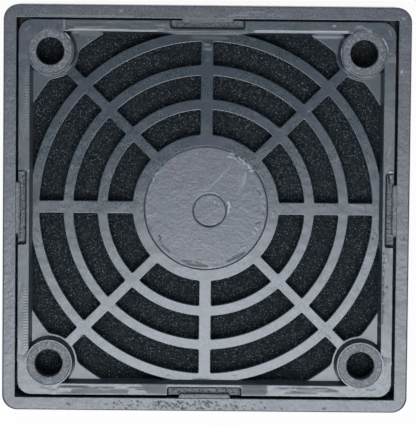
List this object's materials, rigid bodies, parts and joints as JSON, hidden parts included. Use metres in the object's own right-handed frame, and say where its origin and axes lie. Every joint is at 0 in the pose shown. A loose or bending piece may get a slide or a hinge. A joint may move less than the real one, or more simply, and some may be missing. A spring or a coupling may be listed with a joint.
{
  "type": "fan dust filter",
  "caption": "Square three-piece dust filter for a small axial fan: ring-grille finger guard, foam square and slotted clip-on frame.",
  "frame": {"origin": "under the middle of the retainer frame, on its front face, which the filter lies on", "axes": "+Z from the filter's front towards the fan; X and Y along the sides"},
  "size_m": [0.065, 0.065, 0.011],
  "materials": {
    "guard_plastic": "semi-gloss moulded black",
    "frame_plastic": "satin moulded black",
    "foam": "open-cell black foam"
  },
  "bodies": {
    "root": {"finger_guard": "guard_plastic", "filter_foam": "foam", "retainer_frame": "frame_plastic"}
  },
  "joints": []
}
